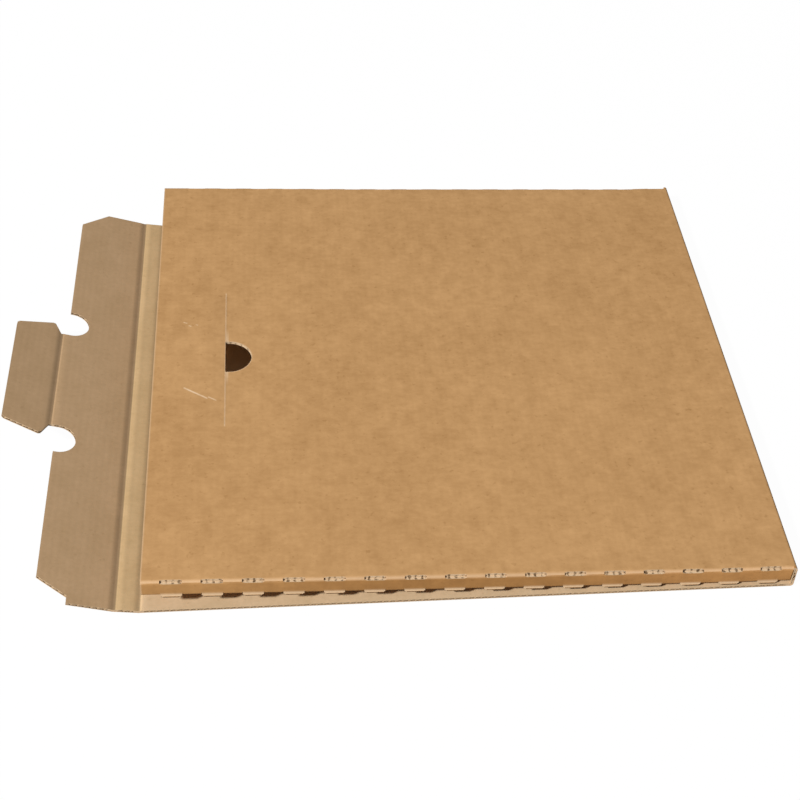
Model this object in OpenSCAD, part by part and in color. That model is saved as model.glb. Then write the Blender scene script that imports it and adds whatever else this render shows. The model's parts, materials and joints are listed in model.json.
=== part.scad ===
// Flat die-cut mailing box of single-wall corrugated board, for one square twelve-inch sleeve.
// It is folded from one blank: base, spine, lid tray, and a closing flap with its tuck tab.
// X runs from the closing flap to the spine, Y from the near wall to the far wall, Z up.
// The origin lies on the ground, under the middle of the closed tray. All sizes are in millimetres.

/* [Board] */
// Thickness of the corrugated board
board = 1.6; // [1.2:0.1:2]
// Radius inside the hand-folded cut creases
fold_radius = 0.4; // [0.2:0.1:0.8]
// Running gap between a rolled hinge crease and its seat
fold_gap = 0.3; // [0.2:0.05:0.4]

/* [Lid tray] */
// Length of the tray, from its open side to the outside of the spine
tray_length = 328.5; // [260:1:400]
// Depth of the tray over its two walls
tray_depth = 328.5; // [300:0.5:400]
// Height of the closed box, from the ground to the top of the lid
closed_height = 13.8; // [12:0.1:30]
// Width of the flanges that fold in under the tray
flange_width = 60; // [30:1:90]
// Length that each flange loses towards its free edge, at both ends
flange_taper = 18; // [4:1:40]
// Gap between the end of a wall and the spine
wall_end_gap = 0.6; // [0.5:0.1:2]

/* [Cut creases] */
// Distance from one cut to the next
cut_pitch = 20; // [16:0.5:30]
// Length of each cut along the fold
cut_length = 10.9; // [7:0.1:13]
// Distance from the open side to the first cut in the near wall
first_cut = 9.3; // [6:0.1:16]
// How much nearer the spine the cuts in the far wall lie
far_cut_shift = 5.7; // [0:0.1:6]
// How far each tongue stands out past the lower fold
tongue_reach = 1.3; // [1:0.1:3]
// Width that each tongue loses on either side towards its tip
tongue_taper = 1.1; // [0.5:0.1:2]
// Gap that the knife leaves on either side of a tongue
tongue_side_gap = 0.25; // [0.2:0.05:0.5]
// Gap between the tongues and the base when the lid is down
tongue_rest_gap = 0.3; // [0.2:0.05:0.5]

/* [Slit and thumb hole] */
// Distance from the open side of the tray to the slit
slit_inset = 40; // [30:1:70]
// Length of the slit
slit_length = 110; // [95:1:150]
// Width that the knife leaves open
slit_width = 0.8; // [0.5:0.1:2]
// Radius of the thumb hole's round side
thumb_radius = 12.8; // [8:0.1:18]
// Straight length between the slit and the start of that round
thumb_straight = 1.9; // [0.5:0.1:6]

/* [Closing flap] */
// Depth of the closing flap and its strip, level with the base at the near side
closure_depth = 316; // [240:1:328]
// Gap between the tray's open side and the first crease
crease_gap = 1.6; // [1:0.1:4]
// Gap that stays between the closed lid and the flap over it
flap_rest_gap = 0.3; // [0.2:0.05:0.5]
// Width of the flap, from its crease to its free edge
flap_width = 38.5; // [32:0.5:60]
// Width over which the flap keeps its full depth
flap_root_width = 22.9; // [10:0.1:28]
// Depth that the flap loses at each end, along its slanted ends
flap_end_taper = 14.2; // [6:0.1:30]
// Step in the near end, where the slant starts
flap_near_step = 4.5; // [1:0.1:5.5]
// Radius of the finger notches on both sides of the tab
notch_radius = 10; // [6:0.5:14]
// Depth of the finger notches from the free edge
notch_depth = 11.4; // [8:0.1:16]

/* [Tuck tab] */
// Length of the crease that the tab hinges on
neck_width = 74.8; // [60:0.2:90]
// How far that crease lies outside the flap's free edge
neck_reach = 3.9; // [2:0.1:8]
// Length of the tab from its crease to its tip
tab_length = 25.4; // [18:0.2:32]
// How far each ear stands out past the neck
ear_reach = 8; // [3:0.1:9]
// Distance from the crease to the points of the ears
ear_offset = 4.2; // [3:0.1:8]
// Width of the tab at its tip
tab_tip_width = 79.2; // [60:0.2:90]
// Width of the small bevels on the tip's corners
tab_tip_bevel = 1.2; // [0.5:0.1:3]

/* [Resting pose] */
// Angle that the lid stands open, sprung up by its creases
lid_lift = 1.6; // [0:0.1:2]
// Slope of the strip above the ground
strip_tilt = 8.2; // [1:0.1:30]
// Slope of the flap above the ground
flap_tilt = 17; // [8.5:0.1:45]
// Slope of the tab above the ground
tab_tilt = 21; // [17:0.1:60]

/* [Hidden] */
$fn = 48;
// Outer radius of a cut crease
fold_outer = fold_radius + board;
half_depth = tray_depth / 2;
// Inner height of the spine, between its two hinge lines
spine_height = closed_height - 2 * board;
// Height of the strip: it has to clear the closed lid's top
strip_width = closed_height - board + flap_rest_gap;
// Hinge lines on the base, where its inner face meets the spine and the strip
spine_x = tray_length / 2 - board;
first_crease_x = -tray_length / 2 - crease_gap;
// The lid runs from the spine's upper hinge line to the tray's open side
lid_length = spine_x + tray_length / 2;
wall_length = lid_length - wall_end_gap;
// Heights on the lid, from the underside of its top panel down
tongue_tip_z = -spine_height + tongue_rest_gap;
flange_z = tongue_tip_z + tongue_reach;
// The knife takes this much off a tongue's corners
tongue_bevel = 0.6;
// The last cut keeps this far from the wall's end
cut_end_margin = 0.3;
// The closure is level with the base at its near side
closure_y = (closure_depth - tray_depth) / 2;
half_closure = closure_depth / 2;
// Distance from the flap's crease to the tab's crease
neck_x = flap_width + neck_reach;
// Cutters run past the faces that they open
overcut = 1;
// Folds and tongues reach this far into the board that they continue
fold_lap = 0.5;

outer_kraft = "#bd9261";
inner_kraft = "#ac9170";
pale_kraft = "#c6a67c";

// Distance of cut number i from the spine's hinge line, for a row moved by shift
function cut_start(i, shift) = -lid_length + first_cut + shift + i * cut_pitch;

// Number of whole cuts that a wall has room for
function cut_count(shift) =
    floor((wall_length - first_cut - shift - cut_length - cut_end_margin) / cut_pitch) + 1;

// Profile in the X-Z plane, drawn in 2D and made a panel of the given depth along Y
module along_y(depth) {
    rotate([90, 0, 0])
        linear_extrude(height = depth, center = true) children();
}

// Profile in the Y-Z plane, drawn in 2D and made a length along X that ends at x = end
module along_x(length, end) {
    translate([end - length, 0, 0])
        rotate([90, 0, 90])
            linear_extrude(height = length) children();
}

// Profile of a hinged panel that runs from its hinge line at the origin towards -X. Its inner face
// is at height 0. The rolled crease beyond the hinge line closes the corner when the panel stands
// up, and a panel that carries another one ends in a round seat for that one's crease.
module panel_profile(length, seat) {
    difference() {
        union() {
            translate([-length, -board]) square([length, board]);
            intersection() {
                circle(r = board);
                translate([0, -board]) square(board);
            }
        }
        if (seat) translate([-length, 0]) crease_seat();
    }
}

module crease_seat() {
    circle(r = board + fold_gap);
}

// Places in the resting pose, each with the piece's own hinge line at the origin
module at_spine() {
    translate([spine_x, 0, board]) rotate([0, -90, 0]) mirror([1, 0, 0]) children();
}

module at_lid() {
    translate([spine_x, 0, board + spine_height]) rotate([0, lid_lift, 0]) children();
}

module at_strip() {
    translate([first_crease_x, closure_y, board]) rotate([0, strip_tilt, 0]) children();
}

module at_flap() {
    at_strip() translate([-strip_width, 0, 0]) rotate([0, flap_tilt - strip_tilt, 0]) children();
}

module at_tab() {
    at_flap() translate([-neck_x, 0, 0]) rotate([0, tab_tilt - flap_tilt, 0]) children();
}

// Quarter ring of board about the origin, from straight up round to -X, with a lap at either end
module quarter_fold() {
    intersection() {
        difference() {
            circle(r = fold_outer);
            circle(r = fold_radius);
        }
        translate([-fold_outer, 0]) square(fold_outer);
    }
    translate([0, fold_radius]) square([fold_lap, board]);
    translate([-fold_outer, -fold_lap]) square([board, fold_lap]);
}

// Near wall with its two folds, drawn in the Y-Z plane
module wall_profile() {
    translate([-half_depth + fold_outer, board - fold_outer]) quarter_fold();
    translate([-half_depth, flange_z + fold_outer])
        square([board, board - flange_z - 2 * fold_outer]);
    translate([-half_depth + fold_outer, flange_z + fold_outer]) mirror([0, 1]) quarter_fold();
}

// Flange under the near side, with slanted ends that clear the spine and the open side
module flange() {
    root_y = -half_depth + fold_outer;
    free_y = -half_depth + flange_width;
    translate([0, 0, flange_z])
        linear_extrude(height = board)
            polygon([
                [-lid_length, root_y],
                [-wall_end_gap, root_y],
                [-wall_end_gap, root_y + fold_lap],
                [-wall_end_gap - flange_taper, free_y],
                [-lid_length + flange_taper, free_y],
                [-lid_length, root_y + fold_lap]
            ]);
}

// One cut of the upper fold and one of the lower fold, where the board is parted at the corner
module crease_cuts() {
    translate([0, -half_depth - overcut, board - fold_outer])
        cube([cut_length, fold_outer + overcut, fold_outer + overcut]);
    translate([0, -half_depth - overcut, flange_z - overcut])
        cube([cut_length, fold_outer + tongue_reach + overcut, fold_outer + overcut]);
}

// Tongue of wall board that stays straight where the flange folds away from it
module tongue() {
    root_z = flange_z + fold_outer;
    left = [
        [tongue_side_gap, root_z + fold_lap],
        [tongue_side_gap, flange_z],
        [tongue_taper, tongue_tip_z + tongue_bevel],
        [tongue_taper + tongue_bevel, tongue_tip_z]
    ];
    right = [for (i = [3 : -1 : 0]) [cut_length - left[i].x, left[i].y]];
    translate([0, -half_depth + board, 0])
        rotate([90, 0, 0])
            linear_extrude(height = board) polygon(concat(left, right));
}

// Wall, folds, flange and tongues of the near side, with a row of cuts moved by shift
module cut_crease_side(shift) {
    difference() {
        union() {
            along_x(wall_length, -wall_end_gap) wall_profile();
            flange();
        }
        for (i = [0 : cut_count(shift) - 1])
            translate([cut_start(i, shift), 0, 0]) crease_cuts();
    }
    for (i = [0 : cut_count(shift) - 1])
        translate([cut_start(i, shift), 0, 0]) tongue();
}

// Top panel between its two long folds, and the full-depth end that is creased to the spine
module top_panel() {
    intersection() {
        along_y(tray_depth) mirror([0, 1]) panel_profile(lid_length, false);
        union() {
            translate([-lid_length - overcut, -half_depth + fold_outer, -overcut])
                cube([lid_length + board + 2 * overcut, tray_depth - 2 * fold_outer, board + 2 * overcut]);
            translate([-wall_end_gap, -half_depth, -overcut])
                cube([wall_end_gap + board + overcut, tray_depth, board + 2 * overcut]);
        }
    }
}

// Slit across the top panel, and the thumb hole that opens from it towards the spine
module slit_and_thumb_hole() {
    slit_x = -lid_length + slit_inset;
    translate([slit_x - slit_width / 2, -slit_length / 2, -overcut])
        cube([slit_width, slit_length, board + 2 * overcut]);
    translate([slit_x, -thumb_radius, -overcut])
        cube([thumb_straight, 2 * thumb_radius, board + 2 * overcut]);
    intersection() {
        translate([slit_x + thumb_straight, 0, -overcut])
            cylinder(r = thumb_radius, h = board + 2 * overcut);
        translate([slit_x, -thumb_radius, -overcut])
            cube([thumb_straight + thumb_radius, 2 * thumb_radius, board + 2 * overcut]);
    }
}

// Outline of the closing flap seen from above, with its crease at x = 0
module flap_outline() {
    half_end = half_closure - flap_end_taper;
    difference() {
        polygon([
            [board, -half_closure],
            [-flap_root_width, -half_closure],
            [-flap_root_width, -half_closure + flap_near_step],
            [-flap_width, -half_end],
            [-flap_width, -neck_width / 2],
            [-neck_x, -neck_width / 2],
            [-neck_x, neck_width / 2],
            [-flap_width, neck_width / 2],
            [-flap_width, half_end],
            [-flap_root_width, half_closure],
            [board, half_closure]
        ]);
        for (side = [-1, 1])
            translate([-flap_width + notch_depth - notch_radius, side * (neck_width / 2 + notch_radius)])
                finger_notch();
    }
}

// Round notch that opens towards -X
module finger_notch() {
    circle(r = notch_radius);
    translate([-notch_depth, -notch_radius]) square([notch_depth, 2 * notch_radius]);
}

// Outline of the tuck tab seen from above, with its crease at x = 0
module tab_outline() {
    half_neck = neck_width / 2;
    half_tip = tab_tip_width / 2;
    near_side = [
        [board, -half_neck],
        [0, -half_neck],
        [-ear_offset, -half_neck - ear_reach],
        [-tab_length + tab_tip_bevel, -half_tip],
        [-tab_length, -half_tip + tab_tip_bevel]
    ];
    far_side = [for (i = [4 : -1 : 0]) [near_side[i].x, -near_side[i].y]];
    polygon(concat(near_side, far_side));
}

// Cuts a panel to an outline seen from above
module trimmed() {
    intersection() {
        children(0);
        translate([0, 0, -board - overcut])
            linear_extrude(height = board + 2 * overcut) children(1);
    }
}

module base_panel() {
    color(inner_kraft)
        translate([0, 0, board])
            along_y(tray_depth)
                difference() {
                    translate([first_crease_x, -board]) square([spine_x - first_crease_x, board]);
                    translate([first_crease_x, 0]) crease_seat();
                    translate([spine_x, 0]) crease_seat();
                }
}

module spine() {
    color(outer_kraft)
        at_spine() along_y(tray_depth) panel_profile(spine_height, true);
}

module lid_tray() {
    color(outer_kraft)
        at_lid()
            difference() {
                union() {
                    top_panel();
                    cut_crease_side(0);
                    mirror([0, 1, 0]) cut_crease_side(far_cut_shift);
                }
                slit_and_thumb_hole();
            }
}

module closing_strip() {
    color(pale_kraft)
        at_strip() along_y(closure_depth) panel_profile(strip_width, true);
}

module closing_flap() {
    color(inner_kraft)
        at_flap()
            trimmed() {
                along_y(closure_depth) panel_profile(neck_x, true);
                flap_outline();
            }
}

module tuck_tab() {
    color(inner_kraft)
        at_tab()
            trimmed() {
                along_y(closure_depth) panel_profile(tab_length, false);
                tab_outline();
            }
}

base_panel();
spine();
lid_tray();
closing_strip();
closing_flap();
tuck_tab();
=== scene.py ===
import json
import math
import random

import bmesh
import bpy
import numpy as np
from mathutils import Matrix, Vector
from mathutils.geometry import delaunay_2d_cdt


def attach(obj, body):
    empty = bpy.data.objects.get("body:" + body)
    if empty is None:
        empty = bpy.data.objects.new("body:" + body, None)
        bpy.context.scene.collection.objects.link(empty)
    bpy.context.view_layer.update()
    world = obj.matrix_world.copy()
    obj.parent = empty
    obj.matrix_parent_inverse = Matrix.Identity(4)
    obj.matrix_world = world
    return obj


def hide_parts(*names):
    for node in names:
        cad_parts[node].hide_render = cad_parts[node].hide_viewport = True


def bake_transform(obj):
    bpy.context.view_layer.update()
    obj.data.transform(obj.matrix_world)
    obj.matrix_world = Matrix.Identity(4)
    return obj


# Looks of a flat die-cut mailing box. Sizes are in millimetres, and a mesh gets metres at the end.
# Every panel is drawn flat as the die cuts it, in three numbers: s runs away from the panel's own
# hinge, v runs along the hinge, and w goes through the board from its inner to its outer face.

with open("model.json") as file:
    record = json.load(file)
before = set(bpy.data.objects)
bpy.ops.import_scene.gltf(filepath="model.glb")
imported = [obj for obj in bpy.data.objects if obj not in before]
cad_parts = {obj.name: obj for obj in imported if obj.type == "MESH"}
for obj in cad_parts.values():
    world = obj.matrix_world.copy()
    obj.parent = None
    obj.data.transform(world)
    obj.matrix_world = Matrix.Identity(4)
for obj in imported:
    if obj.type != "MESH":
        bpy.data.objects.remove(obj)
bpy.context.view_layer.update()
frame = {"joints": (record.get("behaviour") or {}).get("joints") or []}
mm = 0.001
joints = {joint["name"]: joint for joint in frame["joints"]}

board = {
    "thickness": 1.6,
    "liner": 0.22,          # each of the two flat papers
    "medium": 0.16,         # the waved paper between them
    "flutePitch": 3.3,
    "flutePoints": 8,       # points along one flute
    "creaseReach": 2.6,     # how far a hinge crease reaches into a panel
    "edgeInset": 0.3,       # how deep the crushed core lies behind a cut end
    "creaseStep": 11,       # degrees from one row of a bent crease to the next
}
inner, outer, cut, waved = range(4)   # places of the materials on every piece


def smoothStep(t):
    t = np.clip(t, 0, 1)
    return t * t * (3 - 2 * t)


# Camera, solved from the box's corners and cuts in the photograph
camera = {
    "place": (-85.872, -640.039, 589.026),
    "yaw": 5.5283,
    "down": 43.2756,
    "roll": 1.9391,
    "lens": 67.708,
    "sensor": 36,
}


def makeCamera():
    yaw, down, roll = (math.radians(camera[key]) for key in ("yaw", "down", "roll"))
    ahead = Vector((math.sin(yaw) * math.cos(down), math.cos(yaw) * math.cos(down), -math.sin(down)))
    right = Vector((math.cos(yaw), -math.sin(yaw), 0))
    up = right.cross(ahead)
    turned = (
        right * math.cos(roll) + up * math.sin(roll),
        up * math.cos(roll) - right * math.sin(roll),
        -ahead,
    )
    data = bpy.data.cameras.new("photoCamera")
    data.lens = camera["lens"]
    data.sensor_width = camera["sensor"]
    data.clip_start = 0.01
    data.clip_end = 100
    view = bpy.data.objects.new("photoCamera", data)
    place = Matrix.Translation(Vector(camera["place"]) * mm)
    view.matrix_world = place @ Matrix(turned).transposed().to_4x4()
    bpy.context.scene.collection.objects.link(view)
    bpy.context.scene.camera = view


makeCamera()
print("camera is in place")


# Where each panel lies: its hinge, the way it runs from there, and the way out of its outer face
def panelPlace(joint, tilt, down):
    angle = math.radians(tilt)
    along = np.array((-math.cos(angle), 0, math.sin(angle)))
    out = np.array((math.sin(angle), 0, math.cos(angle)))
    return {"hinge": np.array(joints[joint]["pos_m"]) / mm, "along": along, "out": -out if down else out}


stripTilt = joints["strip_fold"]["range_deg"][1]
flapTilt = stripTilt + joints["flap_fold"]["range_deg"][1]
tabTilt = flapTilt - joints["tab_fold"]["range_deg"][0]
places = {
    "base": {
        "hinge": np.array((0, 0, board["thickness"])),
        "along": np.array((1, 0, 0)),
        "out": np.array((0, 0, -1)),
    },
    "spine": {
        "hinge": np.array(joints["spine_fold"]["pos_m"]) / mm,
        "along": np.array((0, 0, 1)),
        "out": np.array((1, 0, 0)),
    },
    "lid": panelPlace("lid_fold", -joints["lid_fold"]["range_deg"][0], False),
    "strip": panelPlace("strip_fold", stripTilt, True),
    "flap": panelPlace("flap_fold", flapTilt, True),
    "tab": panelPlace("tab_fold", tabTilt, True),
}


# Shader maths: a wire is the end of one socket, and maths on wires adds the nodes
class Wire:
    def __init__(self, tree, socket):
        self.tree = tree
        self.socket = socket

    def make(self, kind, settings=None, values=None, out=0):
        node = self.tree.nodes.new(kind)
        for name, value in (settings or {}).items():
            setattr(node, name, value)
        for name, value in (values or {}).items():
            if isinstance(value, Wire):
                self.tree.links.new(value.socket, node.inputs[name])
            else:
                node.inputs[name].default_value = value
        return Wire(self.tree, node.outputs[out])

    def maths(self, operation, first, second=0.0, third=0.0):
        return self.make("ShaderNodeMath", {"operation": operation}, {0: first, 1: second, 2: third})

    def __add__(self, other):
        return self.maths("ADD", self, other)

    def __radd__(self, other):
        return self.maths("ADD", other, self)

    def __sub__(self, other):
        return self.maths("SUBTRACT", self, other)

    def __rsub__(self, other):
        return self.maths("SUBTRACT", other, self)

    def __mul__(self, other):
        return self.maths("MULTIPLY", self, other)

    def __rmul__(self, other):
        return self.maths("MULTIPLY", other, self)

    def __abs__(self):
        return self.maths("ABSOLUTE", self)

    def sine(self):
        return self.maths("SINE", self)

    def root(self):
        return self.maths("SQRT", self)

    def within01(self):
        return self.make("ShaderNodeClamp", None, {"Value": self})

    def fade(self, start, end):       # 0 at start, 1 at end, smooth between
        kind = {"interpolation_type": "SMOOTHSTEP"}
        return self.make("ShaderNodeMapRange", kind, {"Value": self, "From Min": start, "From Max": end})

    def noise(self, size, detail=2.0, roughness=0.5):      # about 0 on average
        values = {"Vector": self, "Scale": 1 / size, "Detail": detail, "Roughness": roughness}
        return self.make("ShaderNodeTexNoise", None, values) - 0.5

    def stretched(self, scale):
        return self.make("ShaderNodeVectorMath", {"operation": "MULTIPLY"}, {0: self, 1: scale})

    def mixed(self, factor, low, high):       # colours, from low at 0 to high at 1
        return self.make("ShaderNodeMix", {"data_type": "RGBA"}, {0: factor, 6: low, 7: high}, out=2)

    def part(self, axis):
        return self.make("ShaderNodeSeparateXYZ", None, {0: self}, out="XYZ".index(axis))


def newPaper(name, roughness):
    material = bpy.data.materials.new(name)
    material.use_nodes = True
    tree = material.node_tree
    shader = tree.nodes["Principled BSDF"]
    shader.inputs["Roughness"].default_value = roughness
    shader.inputs["Specular IOR Level"].default_value = 0.3
    place = Wire(tree, tree.nodes.new("ShaderNodeTexCoord").outputs["Object"])
    return material, shader, place.stretched((1000, 1000, 1000))


def rgba(colour):
    return (*colour, 1.0)


def paintedLightAndWear(place):       # how pale or dark the paper is drawn, stored on the mesh: wear together with painted highlights and painted shadows
    return place.make("ShaderNodeAttribute", {"attribute_name": "wear"}, None, out=2)


def join(wire, shader, name):
    wire.tree.links.new(wire.socket, shader.inputs[name])


outerKraft = {
    "dark": (0.418, 0.224, 0.084),
    "light": (0.61, 0.352, 0.152),
    "pale": (0.76, 0.55, 0.35),
    "dirty": (0.09, 0.045, 0.018),      # painted shadow: a dark line at the tongues' tips and along the slots' lower lips
    "wallTint": ((0.94, 0.86, 0.71), (0.75, 0.64, 0.46), (0.92, 0.79, 0.60)),    # painted shade on the lid's walls: darker and warmer than the top, changing along the wall
    "tintTurns": ((-150, -40), (10, 130)),       # where one painted wall shade gives way to the next
    "wallFrom": 162.5,
    "cloud": 55.0,         # sizes of the tone's patches
    "mottle": 8.5,
    "fleck": 3.0,
    "speck": 2.6,
}
innerKraft = {
    "dark": (0.50, 0.355, 0.205),
    "light": (0.635, 0.46, 0.29),
    "stripTint": (0.95, 0.91, 0.78),    # painted shade: the open strip, flap and tab are drawn darker than the base, as they tilt away from the lamp
    "flapTint": (0.87, 0.79, 0.71),
    "stripTurn": (-163, -167),
    "flapTurn": (-176.5, -178.5),
    "cloud": 60.0,
    "mottle": 11.0,
    "fleck": 2.0,
    "speck": 2.2,
    "creases": ((-165.4, 0.30), (-177.1, 0.42), (-217.9, 0.36)),    # place and strength of their shade
}
scratches = {          # short scratches on the lid, by the distance from its hinge and along it
    "lines": (
        ((308.7, -25.8), (296.3, -34.1), 0.75),
        ((295.2, -33.3), (291.3, -35.8), 0.6),
        ((310.6, 30.0), (308.8, 29.2), 0.4),
        ((307.6, 27.0), (306.4, 26.6), 0.4),
        ((303.6, 27.9), (302.6, 27.5), 0.35),
    ),
    "lowest": 14.0,        # only the lid lies above this height
}


toneShares = {
    "cloud": 0.5,
    "mottle": 0.95,
    "fleck": 0.85,
    "flute": 0.012,
    "speck": 0.35,
    "middle": 0.52,
}


def paperTone(place, paper):
    cloud = place.noise(paper["cloud"], 2.0)
    mottle = place.stretched((1.0, 0.7, 1.0)).noise(paper["mottle"], 3.0, 0.55)
    fibres = place.stretched((0.6, 1.0, 1.0)).noise(paper["fleck"], 4.0, 0.65)
    flutes = (place.part("X") * (2 * math.pi / board["flutePitch"])).sine()
    specks = place.noise(paper["speck"], 1.0).fade(0.14, 0.3)
    tone = cloud * toneShares["cloud"] + mottle * toneShares["mottle"] + fibres * toneShares["fleck"]
    # The flute term is painted shade: faint light and dark stripes along the flutes
    tone = tone + flutes * toneShares["flute"] - specks * toneShares["speck"] + toneShares["middle"]
    return tone, fibres, flutes


def paperBump(place, shader, fibres, flutes, strength):
    height = fibres * 0.05 + flutes * 0.01 + place.noise(0.5, 2.0) * 0.03
    values = {"Height": height, "Strength": strength, "Distance": mm}
    join(place.make("ShaderNodeBump", None, values), shader, "Normal")


def scratchMask(place):
    x, y = place.part("X"), place.part("Y")
    total = None
    for start, end, width in scratches["lines"]:
        (x0, y0), (x1, y1) = ((places["lid"]["hinge"][0] - s, v) for s, v in (start, end))
        along = ((x - x0) * (x1 - x0) + (y - y0) * (y1 - y0)) * (1 / ((x1 - x0) ** 2 + (y1 - y0) ** 2))
        share = along.within01()
        aside, ahead = x - x0 - share * (x1 - x0), y - y0 - share * (y1 - y0)
        line = (aside * aside + ahead * ahead).root().fade(width, width * 0.35)
        total = line if total is None else total + line
    return total * place.part("Z").fade(scratches["lowest"], scratches["lowest"] + 1)


def makeOuterKraft():
    material, shader, place = newPaper("outerKraft", 0.78)
    tone, fibres, flutes = paperTone(place, outerKraft)
    colour = place.mixed(tone, rgba(outerKraft["dark"]), rgba(outerKraft["light"]))
    # Painted shade: the lid's walls are drawn darker and warmer than its top
    wall = abs(place.part("Y")).fade(outerKraft["wallFrom"], outerKraft["wallFrom"] + 1)
    wallShades = [rgba(tint) for tint in outerKraft["wallTint"]]
    wallTint = wallShades[0]
    for tint, (start, end) in zip(wallShades[1:], outerKraft["tintTurns"]):
        wallTint = place.mixed(place.part("X").fade(start, end), wallTint, tint)
    colour = place.mixed(wall, colour, colour.stretched(wallTint))
    # Paler where the paper is scratched or worn, and where highlights are painted
    paled = (paintedLightAndWear(place) + scratchMask(place) * (fibres * 2 + 0.85)).within01()
    colour = place.mixed(paled, colour, rgba(outerKraft["pale"]))
    # Painted shadow where the stored marks fall below 0
    colour = place.mixed(paintedLightAndWear(place).fade(-0.1, -0.9), colour, rgba(outerKraft["dirty"]))
    join(colour, shader, "Base Color")
    join(fibres * 0.25 + 0.78, shader, "Roughness")
    paperBump(place, shader, fibres, flutes, 0.6)
    return material


def creaseShade(place):       # dark before each crease and light behind it
    x = place.part("X")
    total = None
    for spot, depth in innerKraft["creases"]:
        shade = x.fade(spot - 6, spot - 0.2) * x.fade(spot + 0.5, spot - 0.1)
        glint = x.fade(spot + 0.1, spot + 0.7) * x.fade(spot + 4.0, spot + 0.7)
        change = glint * (depth * 0.6) - shade * shade * depth
        total = change if total is None else total + change
    return total + 1


def makeInnerKraft():
    material, shader, place = newPaper("innerKraft", 0.85)
    tone, fibres, flutes = paperTone(place, innerKraft)
    colour = place.mixed(tone, rgba(innerKraft["dark"]), rgba(innerKraft["light"]))
    # Painted shade on the strip, flap and tab
    strip, flap = (colour.stretched(innerKraft[key]) for key in ("stripTint", "flapTint"))
    colour = place.mixed(place.part("X").fade(*innerKraft["stripTurn"]), colour, strip)
    colour = place.mixed(place.part("X").fade(*innerKraft["flapTurn"]), colour, flap)
    join(colour.stretched(creaseShade(place)), shader, "Base Color")
    join(fibres * 0.2 + 0.85, shader, "Roughness")
    paperBump(place, shader, fibres, flutes, 0.8)
    return material


rawPaper = {
    "cut": ((0.48, 0.33, 0.19), (0.78, 0.60, 0.41)),         # dark and light of a cut edge
    # The hollow colour is painted shade inside the flutes of a cut edge
    "hollow": (0.14, 0.08, 0.035),
    "flute": ((0.33, 0.215, 0.115), (0.55, 0.385, 0.23)),
}


def makeCutPaper():
    material, shader, place = newPaper("cutPaper", 0.9)
    grain = place.noise(0.7, 3.0, 0.7)
    dark, light = (rgba(colour) for colour in rawPaper["cut"])
    paper = place.mixed(grain + 0.5, dark, light)
    # Painted shade: flute hollows drawn dark where the mesh marks a cut face
    hollows = (place.part("X") * (2 * math.pi / board["flutePitch"])).sine() + place.noise(1.6, 2.0) * 6
    shade = hollows.fade(0.0, 1.5) * paintedLightAndWear(place)
    join(place.mixed(shade, paper, rgba(rawPaper["hollow"])), shader, "Base Color")
    return material


def makeFlutePaper():
    material, shader, place = newPaper("flutePaper", 0.9)
    grain = place.noise(1.2, 3.0, 0.6)
    dark, light = (rgba(colour) for colour in rawPaper["flute"])
    join(place.mixed(grain + 0.5, dark, light), shader, "Base Color")
    return material


papers = [makeInnerKraft(), makeOuterKraft(), makeCutPaper(), makeFlutePaper()]
print("papers are mixed")


# Flat sheets: a sheet is cut from loops of (s, v) points and scored along straight lines
def insideLoops(points, loops):
    inside = np.zeros(len(points), bool)
    for loop in loops:
        ring = np.array(loop)
        for (s0, v0), (s1, v1) in zip(ring, np.roll(ring, -1, axis=0)):
            if v0 != v1:
                crossed = (points[:, 1] < v0) != (points[:, 1] < v1)
                reach = s0 + (points[:, 1] - v0) * (s1 - s0) / (v1 - v0)
                inside ^= crossed & (points[:, 0] < reach)
    return inside


def cutSheet(loops, lines):
    points, edges = [], []
    for loop in loops:
        first = len(points)
        points += [Vector(point) for point in loop]
        edges += [(first + i, first + (i + 1) % len(loop)) for i in range(len(loop))]
    for start, end in lines:
        edges.append((len(points), len(points) + 1))
        points += [Vector(start), Vector(end)]
    found, _, faces, *_ = delaunay_2d_cdt(points, edges, [], 0, 1e-5)
    spots = np.array(found)
    faces = np.array(faces)
    faces = faces[insideLoops(spots[faces].mean(axis=1), loops)]
    used, flat = np.unique(faces, return_inverse=True)
    spots, faces = spots[used], flat.reshape(faces.shape)
    a, b, c = (spots[faces[:, i]] for i in range(3))
    turn = (b[:, 0] - a[:, 0]) * (c[:, 1] - a[:, 1]) - (b[:, 1] - a[:, 1]) * (c[:, 0] - a[:, 0])
    faces[turn < 0] = faces[turn < 0][:, ::-1]
    return spots, faces[np.abs(turn) > 1e-9]


def rimOf(faces):
    sides = {}
    for face in faces:
        for i in range(3):
            sides[(face[i], face[(i + 1) % 3])] = True
    return [side for side in sides if (side[1], side[0]) not in sides]


class Stack:       # closed shells of one piece, in s, v and w
    def __init__(self):
        self.points = []
        self.faces = []
        self.kinds = []

    def add(self, points, faces, kinds):
        first = len(self.points)
        self.points += [tuple(point) for point in points]
        self.faces += [tuple(int(corner) + first for corner in face) for face in faces]
        self.kinds += list(kinds)

    def addSheet(self, sheet, low, high, lowKind, highKind):
        spots, faces = sheet
        count = len(spots)
        rim = rimOf(faces)
        points = [(s, v, low) for s, v in spots] + [(s, v, high) for s, v in spots]
        shell = [tuple(face[::-1]) for face in faces]
        shell += [tuple(face + count) for face in faces]
        shell += [(a, b, b + count, a + count) for a, b in rim]
        kinds = [lowKind] * len(faces) + [highKind] * len(faces) + [cut] * len(rim)
        self.add(points, shell, kinds)


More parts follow.
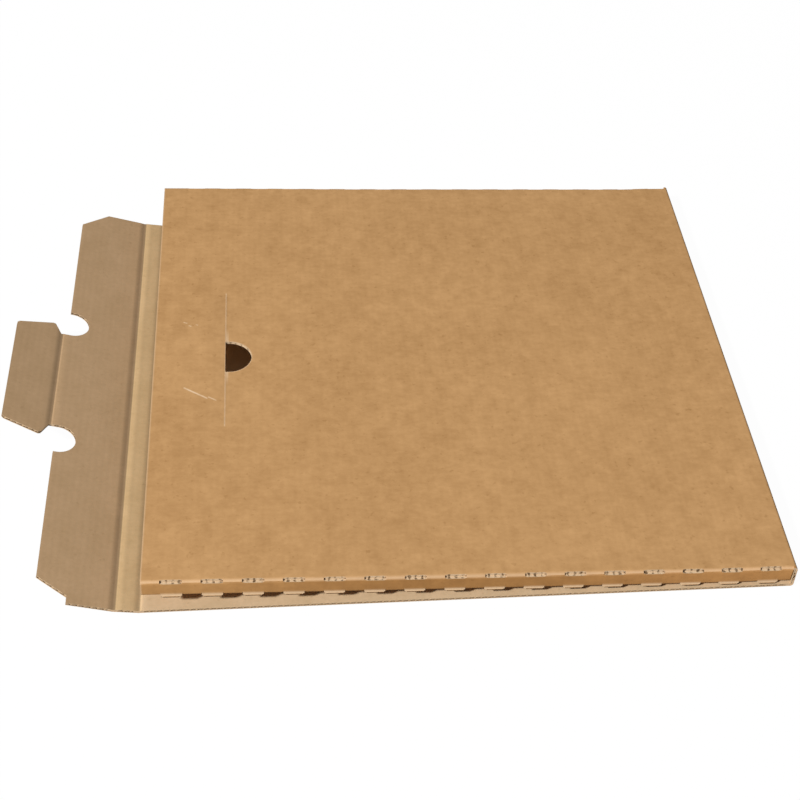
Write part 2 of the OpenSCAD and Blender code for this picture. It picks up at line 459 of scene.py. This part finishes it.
def finishPiece(name, points, faces, kinds, shape, wear=None):
    mesh = bpy.data.meshes.new(name)
    mesh.from_pydata([tuple(point) for point in shape(np.array(points)) * mm], [], faces)
    if wear:
        mesh.attributes.new("wear", "FLOAT", "POINT").data.foreach_set("value", wear(np.array(points)))
    for paper in papers:
        mesh.materials.append(paper)
    mesh.polygons.foreach_set("material_index", np.array(kinds, np.int32))
    work = bmesh.new()
    work.from_mesh(mesh)
    bmesh.ops.recalc_face_normals(work, faces=work.faces)
    work.to_mesh(mesh)
    work.free()
    mesh.polygons.foreach_set("use_smooth", np.ones(len(mesh.polygons), bool))
    mesh.set_sharp_from_angle(angle=math.radians(32))
    piece = bpy.data.objects.new(name, mesh)
    bpy.context.scene.collection.objects.link(piece)
    return piece


# Geometry Nodes: the waved paper of a panel, and a row of equal knives
def newTree(name, inputs):
    tree = bpy.data.node_groups.new(name, "GeometryNodeTree")
    tree.interface.new_socket("Geometry", in_out="INPUT", socket_type="NodeSocketGeometry")
    for label, kind, value in inputs:
        socket = tree.interface.new_socket(label, in_out="INPUT", socket_type="NodeSocket" + kind)
        if value is not None:
            socket.default_value = value
    tree.interface.new_socket("Geometry", in_out="OUTPUT", socket_type="NodeSocketGeometry")
    return tree, tree.nodes.new("NodeGroupInput"), tree.nodes.new("NodeGroupOutput")


def addNode(tree, kind, settings=None, values=None):
    node = tree.nodes.new(kind)
    for name, value in (settings or {}).items():
        setattr(node, name, value)
    for name, value in (values or {}).items():
        if isinstance(value, bpy.types.NodeSocket):
            tree.links.new(value, node.inputs[name])
        else:
            node.inputs[name].default_value = value
    return node


def makeFluteTree():
    inputs = [
        ("Flute pitch", "Float", board["flutePitch"]),
        ("Wave height", "Float", 1.0),
        ("Paper thickness", "Float", board["medium"]),
        ("Middle of board", "Float", board["thickness"] / 2),
        ("Paper", "Material", None),
    ]
    tree, given, result = newTree("wavedMedium", inputs)
    take = given.outputs
    place = addNode(tree, "GeometryNodeInputPosition").outputs[0]
    along = addNode(tree, "ShaderNodeSeparateXYZ", None, {0: place}).outputs[0]
    turns = addNode(tree, "ShaderNodeMath", {"operation": "DIVIDE"}, {0: along, 1: take["Flute pitch"]})
    angle = addNode(tree, "ShaderNodeMath", {"operation": "MULTIPLY"},
                    {0: turns.outputs[0], 1: 2 * math.pi})
    wave = addNode(tree, "ShaderNodeMath", {"operation": "SINE"}, {0: angle.outputs[0]})
    half = addNode(tree, "ShaderNodeMath", {"operation": "MULTIPLY"}, {0: take["Wave height"], 1: 0.5})
    rise = addNode(tree, "ShaderNodeMath", {"operation": "MULTIPLY"},
                   {0: wave.outputs[0], 1: half.outputs[0]})
    back = addNode(tree, "ShaderNodeMath", {"operation": "MULTIPLY"}, {0: take["Paper thickness"], 1: -0.5})
    level = addNode(tree, "ShaderNodeMath", {"operation": "ADD"},
                    {0: take["Middle of board"], 1: back.outputs[0]})
    total = addNode(tree, "ShaderNodeMath", {"operation": "ADD"}, {0: rise.outputs[0], 1: level.outputs[0]})
    lift = addNode(tree, "ShaderNodeCombineXYZ", None, {"Z": total.outputs[0]})
    bent = addNode(tree, "GeometryNodeSetPosition", None,
                   {"Geometry": take["Geometry"], "Offset": lift.outputs[0]})
    thick = addNode(tree, "ShaderNodeCombineXYZ", None, {"Z": take["Paper thickness"]})
    grown = addNode(tree, "GeometryNodeExtrudeMesh", {"mode": "FACES"},
                    {"Mesh": bent.outputs[0], "Offset": thick.outputs[0],
                     "Offset Scale": 1.0, "Individual": False})
    under = addNode(tree, "GeometryNodeFlipFaces", None, {"Mesh": bent.outputs[0]})
    both = addNode(tree, "GeometryNodeJoinGeometry")
    tree.links.new(grown.outputs["Mesh"], both.inputs[0])
    tree.links.new(under.outputs[0], both.inputs[0])
    closed = addNode(tree, "GeometryNodeMergeByDistance", None,
                     {"Geometry": both.outputs[0], "Distance": 1e-4})
    real = addNode(tree, "GeometryNodeRealizeInstances", None, {"Geometry": closed.outputs[0]})
    painted = addNode(tree, "GeometryNodeSetMaterial", None,
                      {"Geometry": real.outputs[0], "Material": take["Paper"]})
    tree.links.new(painted.outputs[0], result.inputs[0])
    return tree


def makeKnifeTree():
    inputs = [
        ("Count", "Int", 16),
        ("Pitch", "Float", 20.0),
        ("First", "Float", 0.0),
        ("Paper", "Material", None),
    ]
    tree, given, result = newTree("knifeRow", inputs)
    take = given.outputs
    start = addNode(tree, "ShaderNodeCombineXYZ", None, {"X": take["First"]})
    step = addNode(tree, "ShaderNodeCombineXYZ", None, {"X": take["Pitch"]})
    row = addNode(tree, "GeometryNodeMeshLine", {"mode": "OFFSET"},
                  {"Count": take["Count"], "Start Location": start.outputs[0], "Offset": step.outputs[0]})
    knives = addNode(tree, "GeometryNodeInstanceOnPoints", None,
                     {"Points": row.outputs[0], "Instance": take["Geometry"]})
    real = addNode(tree, "GeometryNodeRealizeInstances", None, {"Geometry": knives.outputs[0]})
    painted = addNode(tree, "GeometryNodeSetMaterial", None,
                      {"Geometry": real.outputs[0], "Material": take["Paper"]})
    tree.links.new(painted.outputs[0], result.inputs[0])
    return tree


fluteTree = makeFluteTree()
knifeTree = makeKnifeTree()


def grow(tree, points, edges, faces, values):
    mesh = bpy.data.meshes.new("blank")
    mesh.from_pydata(points, edges, faces)
    blank = bpy.data.objects.new("blank", mesh)
    bpy.context.scene.collection.objects.link(blank)
    modifier = blank.modifiers.new("grow", "NODES")
    modifier.node_group = tree
    for item in tree.interface.items_tree:
        if item.in_out == "INPUT" and item.name in values:
            modifier[item.identifier] = values[item.name]
    grown = bpy.data.meshes.new_from_object(blank.evaluated_get(bpy.context.evaluated_depsgraph_get()))
    spots = [tuple(vertex.co) for vertex in grown.vertices]
    shell = [tuple(face.vertices) for face in grown.polygons]
    bpy.data.objects.remove(blank)
    bpy.data.meshes.remove(mesh)
    bpy.data.meshes.remove(grown)
    return spots, shell


def fluteLines(low, high, near, far):
    step = board["flutePitch"] / board["flutePoints"]
    first, last = math.ceil(low / step), math.floor(high / step)
    return [((i * step, near), (i * step, far)) for i in range(first, last + 1)]


def makeFlutes(name, loops, lines, low, high, near, far, shape):
    spots, faces = cutSheet(loops, lines + fluteLines(low, high, near, far))
    room = board["thickness"] - 2 * board["liner"]
    values = {"Wave height": room - board["medium"] - 0.02, "Paper": papers[waved]}
    points, shell = grow(fluteTree, [(s, v, 0) for s, v in spots], [], faces.tolist(), values)
    return finishPiece(name, points, shell, [waved] * len(shell), shape)


def laid(panel):
    place = places[panel]

    def shape(points):
        s, v, w = (points[:, i:i + 1] for i in range(3))
        return place["hinge"] + s * place["along"] + v * np.array((0, 1, 0)) + w * place["out"]
    return shape


def makePanel(name, panel, outline, lines=(), shape=None):
    shape = shape or laid(panel)
    lines = list(lines)
    liner, thick = board["liner"], board["thickness"]
    sheet = cutSheet([outline], lines)
    card = Stack()
    card.addSheet(sheet, 0, liner, inner, waved)
    card.addSheet(sheet, thick - liner, thick, waved, outer)
    piece = finishPiece(name + "_card", card.points, card.faces, card.kinds, shape)
    ring = np.array(outline)
    low, high = ring.min(axis=0), ring.max(axis=0)
    flutes = makeFlutes(name + "_flutes", [outline], lines, low[0], high[0], low[1] - 1, high[1] + 1, shape)
    return piece, flutes


# Plain panels: base, spine, strip, flap and tab
tray = {
    "length": 328.5,
    "depth": 328.5,
    "strip": 316.0,         # depth of the closing strip and flap
}
reach = board["creaseReach"]
half = tray["depth"] / 2
stripHalf = tray["strip"] / 2
stripX = places["strip"]["hinge"][0]
stripY = places["strip"]["hinge"][1]
spineX = places["spine"]["hinge"][0]


def makeBase():
    outline = [
        (stripX + reach, -half),
        (spineX - reach, -half),
        (spineX - reach, half),
        (stripX, half),
        (stripX, stripY + stripHalf),
        (stripX + reach, stripY + stripHalf),
    ]
    return makePanel("base", "base", outline)


def makeSpine():
    height = places["lid"]["hinge"][2] - places["spine"]["hinge"][2]
    outline = [(reach, -half), (height - reach, -half), (height - reach, half), (reach, half)]
    return makePanel("spine", "spine", outline)


def makeStrip():
    width = np.linalg.norm(places["flap"]["hinge"] - places["strip"]["hinge"])
    low, high = reach, width - reach
    outline = [(low, -stripHalf), (high, -stripHalf), (high, stripHalf), (low, stripHalf)]
    return makePanel("strip", "strip", outline)


def arc(centre, radius, start, end, count):
    angles = [math.radians(start + (end - start) * i / count) for i in range(count + 1)]
    return [(centre[0] + radius * math.cos(a), centre[1] + radius * math.sin(a)) for a in angles]


flap = {
    "width": 38.5,
    "rootWidth": 22.9,      # width over which it keeps its full depth
    "endTaper": 14.2,
    "nearStep": 4.5,
    "notchRadius": 10.0,
    "notchDepth": 11.4,
    "neckHalf": 37.4,
}


def makeFlap():
    neck = np.linalg.norm(places["tab"]["hinge"] - places["flap"]["hinge"]) - reach
    width, slant = flap["width"], stripHalf - flap["endTaper"]
    middle = width - flap["notchDepth"] + flap["notchRadius"]
    notchY = flap["neckHalf"] + flap["notchRadius"]
    farNotch = arc((middle, notchY), flap["notchRadius"], -90, -270, 24)
    nearNotch = [(s, -v) for s, v in reversed(farNotch)]
    outline = [
        (reach, -stripHalf),
        (flap["rootWidth"], -stripHalf),
        (flap["rootWidth"], -stripHalf + flap["nearStep"]),
        (width, -slant),
        (width, nearNotch[0][1]),
        *nearNotch,
        (neck, -flap["neckHalf"]),
        (neck, flap["neckHalf"]),
        *farNotch,
        (width, farNotch[-1][1]),
        (width, slant),
        (flap["rootWidth"], stripHalf),
        (reach, stripHalf),
    ]
    return makePanel("flap", "flap", outline)


tab = {
    "length": 25.4,
    "earReach": 8.0,
    "earOffset": 4.2,
    "tipHalf": 39.6,
    "tipBevel": 1.2,
    "earBevel": 0.9,
}


def tabHalf(s):
    return flap["neckHalf"] + tab["earReach"] * max(s, 0) / tab["earOffset"]


def makeTab():
    ear = flap["neckHalf"] + tab["earReach"]
    side = [
        (reach, tabHalf(reach)),
        (tab["earOffset"] - tab["earBevel"] / 2, tabHalf(tab["earOffset"] - tab["earBevel"] / 2)),
        (tab["earOffset"] + tab["earBevel"], ear - tab["earBevel"] / 3),
        (tab["length"] - tab["tipBevel"], tab["tipHalf"]),
        (tab["length"], tab["tipHalf"] - tab["tipBevel"]),
    ]
    outline = [(s, -v) for s, v in side] + side[::-1]
    return makePanel("tab", "tab", outline)


# Lid tray: top, two walls and two flanges from one sheet, bent along two cut creases on each side
lid = {
    "length": spineX + tray["length"] / 2,
    "wallGap": 0.6,         # between the walls' ends and the spine
    "foldRadius": 0.4,
    "wallStraight": 6.9,    # height of a wall between its two folds
    "wallLean": 0.055,      # the walls are folded in a little too far
    "skew": 0.5,            # the open side lies a little aslant, and is drawn back from the strip
    "drawnBack": 0.35,
    "flangeWidth": 58.0,
    "flangeTaper": 18.0,
    "flangeLap": 0.5,
    "cutPitch": 20.0,
    "cutLength": 10.9,
    "firstCut": 9.3,        # from the open side, in the near wall
    "farShift": 5.7,
    "cutCount": 16,
    "slotLiner": 1.0,       # opening of a cut in the flat outer paper, and in the others
    "slotInner": 0.9,
    "core": 0.45,           # width of the crushed core along a cut
    "lipReach": 1.4,        # length over which a cut opens at its ends
    "tongue": 3.2,
    "tongueStraight": 1.9,
    "tongueGap": 0.25,
    "tongueTaper": 1.1,
    "tongueBevel": 0.7,
    "window": 3.5,
    "tongueCurl": (11.0, 20.0),
    "slitInset": 40.0,
    "slitHalf": 55.0,
    "slitWidth": 0.1,
    "slitLip": 0.14,        # how far one lip of the slit rises and the other sinks
    "slitLipWidth": 1.6,
    "slitRub": 0.5,         # widths over which the paper is drawn paler beside slit, hole and open edge; beside the slit it is a painted highlight
    "rimRub": 0.7,
    "edgeRub": 0.9,
    "thumbRadius": 12.8,
    "thumbStraight": 1.9,
    "sag": 0.65,
    "sagRuns": (32, 150),       # lengths over which the sag begins at the spine and ends at the open side
    "warpStep": 12,
}
marksAndPaintedLight = {       # how pale the outer paper is drawn, with painted highlights on the tongues, slit and upper fold, or how dark it is below 0, which is painted shadow
    "tip": 0.8,
    "tipEnd": -3.0,
    "lip": 0.75,
    "rim": 0.6,
    "fold": 0.5,
    "edge": 0.5,
    "lowLip": -0.5,
    "hollow": 1,
    "above": 0.8,       # height above the lower fold where the painted highlight of a tongue begins
}
bendRadius = lid["foldRadius"] + board["thickness"]
arcLength = math.pi / 2 * (lid["foldRadius"] + board["thickness"] / 2)
topEnd = half - bendRadius                 # v where the upper fold starts
wallStart = topEnd + arcLength
wallEnd = wallStart + lid["wallStraight"]
flangeStart = wallEnd + arcLength
flangeEnd = flangeStart + lid["flangeWidth"]
dice = random.Random(12)
tongueTurns = {side: [dice.uniform(*lid["tongueCurl"]) for _ in range(lid["cutCount"])] for side in (-1, 1)}
lipTurns = {side: [dice.uniform(0.0, 0.16) for _ in range(lid["cutCount"])] for side in (-1, 1)}


def firstKnife(side):
    shift = lid["farShift"] if side > 0 else 0
    last = lid["length"] - lid["firstCut"] - shift - lid["cutLength"]
    return last - (lid["cutCount"] - 1) * lid["cutPitch"]


def slotLoop(width, side, grown=0.0):
    low, high = (side * (topEnd + arcLength / 2) + turn * (width / 2 + grown) for turn in (-1, 1))
    start, end = -grown, lid["cutLength"] + grown
    return [(start, low), (end, low), (end, high), (start, high)]


def tongueLoop(side):
    gap, taper, bevel = lid["tongueGap"], lid["tongueTaper"], lid["tongueBevel"]
    root, end = wallEnd, lid["cutLength"]
    corner = arc((taper + bevel, root + lid["tongue"] - bevel), bevel, 180, 90, 4)
    left = [(gap, root), (gap, root + lid["tongueStraight"]), *corner]
    right = [(end - s, v) for s, v in reversed(left)]
    frameLine = [(0, root), (0, root + lid["window"]), (end, root + lid["window"]), (end, root)]
    return [(s, side * v) for s, v in frameLine + right[::-1] + left[::-1]]


def knifeRow(loop, side):
    count = len(loop)
    edges = [(i, (i + 1) % count) for i in range(count)]
    values = {"Count": lid["cutCount"], "Pitch": lid["cutPitch"], "First": firstKnife(side)}
    values["Paper"] = papers[cut]
    spots, _ = grow(knifeTree, [(s, v, 0) for s, v in loop], edges, [], values)
    return [[spot[:2] for spot in spots[i:i + count]] for i in range(0, len(spots), count)]


def slitLoop(grown=0.0):
    x = lid["length"] - lid["slitInset"]
    side, end, gap = (lid[key] + grown for key in ("thumbRadius", "slitHalf", "slitWidth"))
    gap -= lid["slitWidth"] / 2
    hole = arc((x - lid["thumbStraight"], 0), side, 90, 270, 40)
    return [
        (x + gap, -end), (x + gap, end), (x - gap, end), (x - gap, side),
        *hole,
        (x - gap, -side), (x - gap, -end),
    ]


def lidOutline():
    low, high, lap = lid["wallGap"], lid["length"], flangeStart + lid["flangeLap"]
    taper = lid["flangeTaper"]
    quarter = [(high, lap), (high - taper, flangeEnd), (low + taper, flangeEnd), (low, lap)]
    return quarter + [(s, -v) for s, v in reversed(quarter)]


def foldRows(count):
    spots = [topEnd + arcLength * i / count for i in range(count + 1)]
    spots += [wallEnd + arcLength * i / count for i in range(count + 1)]
    spots.append(wallEnd - marksAndPaintedLight["above"])
    spots += [wallEnd + lid["tongue"] * share for share in (0.25, 0.5, 0.66, 0.76)]
    return [((-1, side * v), (lid["length"] + 1, side * v)) for v in spots for side in (-1, 1)]


def cardColumns():
    lines = []
    for side in (-1, 1):
        for i in range(lid["cutCount"]):
            start = firstKnife(side) + i * lid["cutPitch"]
            for share in (0, 0.35, 0.7, 1):
                inset = share * lid["lipReach"]
                near, far = start + inset, start + lid["cutLength"] - inset
                lines += [((s, side * (topEnd - 1)), (s, side * (flangeEnd + 1))) for s in (near, far)]
    paled = lid["length"] - lid["edgeRub"]
    lines.append(((paled, -flangeEnd), (paled, flangeEnd)))
    slit = lid["length"] - lid["slitInset"]
    end = lid["slitHalf"] + 2
    for aside in (lid["slitLipWidth"], lid["slitRub"]):
        lines += [((slit + d, -end), (slit + d, end)) for d in (-aside, aside)]
    ring = arc((slit - lid["thumbStraight"], 0), lid["thumbRadius"] + lid["rimRub"], 90, 270, 40)
    return lines + list(zip(ring, ring[1:]))


def warpLines():
    step = lid["warpStep"]
    last = int(topEnd // step) * step
    lines = [((s, -topEnd), (s, topEnd)) for s in range(step, int(lid["length"]), step)]
    return lines + [((-1, v), (lid["length"] + 1, v)) for v in range(-last, last + 1, step)]


def cutCell(s, v):      # side of the lid, distance from its middle, and place along the nearest cut
    side = np.where(v < 0, -1, 1)
    start = np.where(side < 0, firstKnife(-1), firstKnife(1))
    number = np.clip(np.floor((s - start) / lid["cutPitch"]), 0, lid["cutCount"] - 1).astype(int)
    return side, np.abs(v), number, s - start - number * lid["cutPitch"]


def onTongue(q, within):
    edge = lid["tongueGap"] - 0.05
    along = (within > edge) & (within < lid["cutLength"] - edge)
    return along & (q > wallEnd) & (q < wallEnd + lid["tongue"] + 0.1)


def perCut(values, side, number):
    return np.where(side < 0, np.array(values[-1])[number], np.array(values[1])[number])


def bentLid(points):
    s, v, w = points.T
    side, q, number, within = cutCell(s, v)
    r = lid["foldRadius"] + w
    low = -bendRadius + board["thickness"]         # height of the upper fold's middle
    lowest = low - lid["wallStraight"]
    turn = np.clip((q - topEnd) / arcLength, 0, 1) * math.pi / 2
    turned = np.clip((q - wallEnd) / arcLength, 0, 1) * math.pi / 2
    y = np.select(
        [q <= topEnd, q <= wallStart, q <= wallEnd, q <= flangeStart],
        [q, topEnd + r * np.sin(turn), topEnd + r, topEnd + r * np.cos(turned)],
        topEnd - (q - flangeStart),
    )
    z = np.select(
        [q <= topEnd, q <= wallStart, q <= wallEnd, q <= flangeStart],
        [w, low + r * np.cos(turn), low - (q - wallStart), lowest - r * np.sin(turned)],
        lowest - r,
    )
    # Inside a cut the fold is open, and both of its lips stay straight
    opened = smoothStep(within / lid["lipReach"])
    opened *= smoothStep((lid["cutLength"] - within) / lid["lipReach"])
    opened = np.where((q > topEnd) & (q < wallStart), opened, 0)
    upper = q < topEnd + arcLength / 2
    lift = perCut(lipTurns, side, number)
    y += opened * (np.where(upper, q, topEnd + r) - y)
    z += opened * (np.where(upper, w - lift * (q - topEnd), low + wallStart - q) - z)
    # A tongue runs on below the lower fold, curls out a little, and ends above the base of a shut box
    begins, ends = lid["sagRuns"]
    sag = lid["sag"] * smoothStep((s - reach) / begins) * smoothStep((lid["length"] - s) / ends)
    room = lowest - sag + places["lid"]["hinge"][2] - board["thickness"] - 0.05
    short = np.minimum(1, room / lid["tongue"])
    bend = np.radians(perCut(tongueTurns, side, number)) / lid["tongue"]
    angle = bend * (q - wallEnd)
    tongue = onTongue(q, within)
    y = np.where(tongue, topEnd + lid["foldRadius"] + (1 - np.cos(angle)) / bend + w * np.cos(angle), y)
    z = np.where(tongue, lowest - short * np.sin(angle) / bend + w * np.sin(angle), z)
    y -= lid["wallLean"] * np.maximum(low - z, 0)
    # The slit's lips part in height, and the whole lid sags between its ends
    slit = s - (lid["length"] - lid["slitInset"])
    near = (q < lid["slitHalf"]) & (np.abs(slit) < lid["slitLipWidth"] + 0.1)
    lip = lid["slitLip"] * (1 - np.abs(slit) / lid["slitLipWidth"]).clip(0, 1)
    lip *= smoothStep((lid["slitHalf"] - q) / 6)
    z += np.where(near, np.where(slit > 0, -lip, lip), 0)
    z -= sag
    aslant = s / lid["length"] * (lid["skew"] * side * y / half - lid["drawnBack"])
    return laid("lid")(np.stack([s + aslant, side * y, z], axis=1))


def lidPaintedLightAndWear(points):
    s, v, w = points.T
    side, q, number, within = cutCell(s, v)
    above = marksAndPaintedLight["above"]
    # Painted highlight on the lower band of each tongue
    tip = np.where(onTongue(q, within), smoothStep((q - wallEnd + above) / (lid["tongue"] - above)), 0)
    # The last part of each tongue gets a painted shadow line
    tip = np.where(tip * (q - wallEnd) > lid["tongue"] - 0.2, marksAndPaintedLight["tipEnd"], tip)
    # Paler towards the open edge
    edge = smoothStep((s - lid["length"]) / lid["edgeRub"] + 1) * marksAndPaintedLight["edge"]
    # Painted shadow line along the lower lip of each slot in the outer paper
    lowLip = np.abs(q - topEnd - arcLength / 2 - lid["slotLiner"] / 2) < 0.02
    lowLip = lowLip & (within > -0.01) & (within < lid["cutLength"] + 0.01)
    slit = s - (lid["length"] - lid["slitInset"])
    # Painted highlight along the slit's lips; the hole's rounded rim is drawn paler
    lips = (np.abs(slit) < 0.4) & (q < lid["slitHalf"] + 0.1) & ((slit > 0) | (q > lid["thumbRadius"]))
    rim = np.abs(np.hypot(slit + lid["thumbStraight"], v) - lid["thumbRadius"]) < 0.1
    # Partly rubbed paper and partly a painted highlight along the upper fold
    fold = (q > topEnd - 0.1) & (q < wallStart + 0.1) & (w > board["thickness"] / 2)
    ridge = fold * np.sin(np.pi * np.clip((q - topEnd) / arcLength, 0, 1)) ** 2 * marksAndPaintedLight["fold"]
    hollow = (w < board["thickness"] - 0.1) & (w > 0.1)
    paled = tip * marksAndPaintedLight["tip"] + lips * marksAndPaintedLight["lip"] + (rim & ~lips & (slit < 0)) * marksAndPaintedLight["rim"]
    paled = paled + np.maximum(ridge, edge)
    return np.select([hollow & (q > topEnd - 1), lowLip], [marksAndPaintedLight["hollow"], marksAndPaintedLight["lowLip"]], paled)


def makeLid():
    rows = {}
    kinds = (("narrow", "slotLiner", 0), ("wide", "slotInner", 0), ("core", "slotInner", lid["core"]))
    for key, width, grown in kinds:
        loops = ((side, slotLoop(lid[width], side, grown)) for side in (-1, 1))
        rows[key] = [slot for side, loop in loops for slot in knifeRow(loop, side)]
    tongues = knifeRow(tongueLoop(-1), -1) + knifeRow(tongueLoop(1), 1)
    liner, thick = board["liner"], board["thickness"]
    common = [lidOutline(), slitLoop(), *tongues]
    lines = foldRows(6) + cardColumns() + warpLines()
    card = Stack()
    card.addSheet(cutSheet(common + rows["wide"], lines), 0, liner, inner, waved)
    card.addSheet(cutSheet(common + rows["narrow"], lines), thick - liner, thick, waved, outer)
    card.addSheet(cutSheet([slitLoop(), slitLoop(lid["core"]), *rows["wide"], *rows["core"]], lines),
                  liner, thick - liner, cut, cut)
    piece = finishPiece("lid_card", card.points, card.faces, card.kinds, bentLid, lidPaintedLightAndWear)
    loops = [lidOutline(), slitLoop(lid["core"]), *tongues, *rows["core"]]
    flutes = makeFlutes("lid_flutes", loops, foldRows(4), lid["wallGap"], lid["length"],
                        -flangeEnd - 1, flangeEnd + 1, bentLid)
    return piece, flutes


# Hinge creases: short bent strips of board between two panels
creaseDip = {       # how far the inner face is pressed in, by the distance from the hinge
    "at": (-2.6, -2.0, -1.5, -1.2, -0.9, -0.3, 0.4, 1.0, 1.6, 2.1, 2.6),
    "dip": (0.0, -0.02, -0.03, 0.06, 0.15, 0.18, 0.16, 0.11, 0.06, 0.02, 0.0),
}


def creaseStations(turn, dipped, childReach):
    if dipped:
        spots = creaseDip["at"]
    else:
        spots = (-reach, -reach / 2, childReach / 2, childReach)
    steps = max(2, round(turn / board["creaseStep"]))
    stations = [(s, 0.0) for s in spots if s < 0]
    stations += [(0.0, i / steps) for i in range(steps + 1)]
    return stations + [(s, 1.0) for s in spots if s > 0]


def makeCrease(name, parent, child, nearEdge, farEdge, dipped=True, childReach=None):
    childReach = childReach or reach
    toParent = places[parent]["along"] * (1 if child == "strip" else -1)
    first, second = places[parent]["out"], places[child]["out"]
    hinge = places[child]["hinge"]
    turn = math.acos(np.clip(first @ second, -1, 1))
    stations = creaseStations(math.degrees(turn), dipped, childReach)

    def spot(s, share, v, w):
        if turn > 1e-6:
            out = (math.sin((1 - share) * turn) * first + math.sin(share * turn) * second) / math.sin(turn)
        else:
            out = first
        along = toParent * -s if s < 0 else places[child]["along"] * s
        return hinge + along + out * w + np.array((0, v, 0))

    liner, thick = board["liner"], board["thickness"]
    inset = board["edgeInset"]
    card = Stack()
    layers = (
        (0, liner, inner, waved, 0),
        (thick - liner, thick, waved, outer, 0),
        (liner, thick - liner, waved, waved, inset),
    )
    for low, high, lowKind, highKind, back in layers:
        points = []
        for s, share in stations:
            dip = np.interp(s, creaseDip["at"], creaseDip["dip"]) if dipped else 0
            lowDip = dip if low < thick / 2 else 0
            highDip = dip if high < thick / 2 else 0
            for v in (nearEdge(s) + back, farEdge(s) - back):
                points += [spot(s, share, v, low + lowDip), spot(s, share, v, high + highDip)]
        faces, kinds = [], []
        last = len(stations) - 1
        for i in range(last):
            a, b = 4 * i, 4 * i + 4
            faces += [(a, a + 2, b + 2, b), (a + 1, b + 1, b + 3, a + 3), (a, b, b + 1, a + 1),
                      (a + 2, a + 3, b + 3, b + 2)]
            kinds += [lowKind, highKind, cut, cut]
        end = 4 * last
        faces += [(0, 1, 3, 2), (end, end + 2, end + 3, end + 1)]
        kinds += [cut, cut]
        card.add(points, faces, kinds)
    piece = finishPiece(name, card.points, card.faces, card.kinds, lambda spots: spots)
    start = hinge + toParent * reach
    end = hinge + places[child]["along"] * childReach
    tuple(start * mm)
    tuple(end * mm)
    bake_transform(piece)
    return piece


def even(value):
    return lambda s: value


made = {
    "base": makeBase(),
    "spine": makeSpine(),
    "strip": makeStrip(),
    "flap": makeFlap(),
    "tab": makeTab(),
}
print("flat panels are cut")
made["lid"] = makeLid()
print("lid tray is folded")

slots = {
    "base": ("base_panel", "inner_liner"),
    "spine": ("spine", "outer_liner"),
    "lid": ("lid_tray", "outer_liner"),
    "strip": ("closing_strip", "inner_liner"),
    "flap": ("closing_flap", "inner_liner"),
    "tab": ("tuck_tab", "inner_liner"),
}
for body, (card, flutes) in made.items():
    node, slotName = slots[body]
    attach(card, body)
    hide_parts(node)
    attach(flutes, body)

strip = (even(-stripHalf), even(stripHalf))
neck = (lambda s: -tabHalf(s), tabHalf)
whole = (even(-half), even(half))
creases = [
    makeCrease("strip_crease", "base", "strip", *strip),
    makeCrease("flap_crease", "strip", "flap", *strip),
    makeCrease("tab_crease", "flap", "tab", *neck),
    makeCrease("spine_crease", "base", "spine", *whole, dipped=False),
    makeCrease("lid_crease", "spine", "lid", *whole, dipped=False, childReach=lid["wallGap"]),
]
print("creases are pressed")


# Floor, lamp and white surroundings
studio = {
    "ambient": 0.15,
    "lampWay": (-0.88, -0.70, 1.0),
    "lampDistance": 5.6,
    "lampSize": 0.55,
    "lampPower": 395.0,
    "lampColour": (1.0, 0.99, 0.97),
    "floorSize": 14.0,
    "floorDrop": 0.0002,
    "floorGrey": (0.45, 0.45, 0.45, 1),      # what the floor throws back onto the box
    "floorWhite": 0.95,      # how much of the floor is plain white to the camera
    "floorGlow": 1.03,
}


def makeFloor():
    side, low = studio["floorSize"] / 2, -studio["floorDrop"]
    corners = [(x * side, y * side, low) for x, y in ((-1, -1), (1, -1), (1, 1), (-1, 1))]
    mesh = bpy.data.meshes.new("floor")
    mesh.from_pydata(corners, [], [(0, 1, 2, 3)])
    material = bpy.data.materials.new("whiteFloor")
    material.use_nodes = True
    tree = material.node_tree
    tree.nodes.remove(tree.nodes["Principled BSDF"])
    paths = Wire(tree, tree.nodes.new("ShaderNodeLightPath").outputs["Is Camera Ray"])
    plain = paths.make("ShaderNodeBsdfDiffuse", None, {"Color": studio["floorGrey"]})
    bright = {"Color": (1, 1, 1, 1), "Strength": studio["floorGlow"]}
    glow = paths.make("ShaderNodeEmission", None, bright)
    mixed = paths.make("ShaderNodeMixShader", None, {0: paths * studio["floorWhite"], 1: plain, 2: glow})
    tree.links.new(mixed.socket, tree.nodes["Material Output"].inputs["Surface"])
    mesh.materials.append(material)
    floor = bpy.data.objects.new("floor", mesh)
    bpy.context.scene.collection.objects.link(floor)


def makeLight():
    way = Vector(studio["lampWay"]).normalized()
    data = bpy.data.lights.new("softLamp", "AREA")
    data.shape = "DISK"
    data.size = studio["lampSize"]
    data.energy = studio["lampPower"]
    data.color = studio["lampColour"]
    lamp = bpy.data.objects.new("softLamp", data)
    lamp.location = way * studio["lampDistance"]
    lamp.rotation_euler = way.to_track_quat("Z", "Y").to_euler()
    bpy.context.scene.collection.objects.link(lamp)
    world = bpy.data.worlds.new("whiteRoom")
    world.use_nodes = True
    tree = world.node_tree
    paths = Wire(tree, tree.nodes.new("ShaderNodeLightPath").outputs["Is Camera Ray"])
    strength = paths * (1 - studio["ambient"]) + studio["ambient"]
    background = tree.nodes["Background"]
    background.inputs["Color"].default_value = (1, 1, 1, 1)
    tree.links.new(strength.socket, background.inputs["Strength"])
    bpy.context.scene.world = world
    bpy.context.scene.view_settings.view_transform = "Standard"


makeFloor()
makeLight()
print("studio is lit")
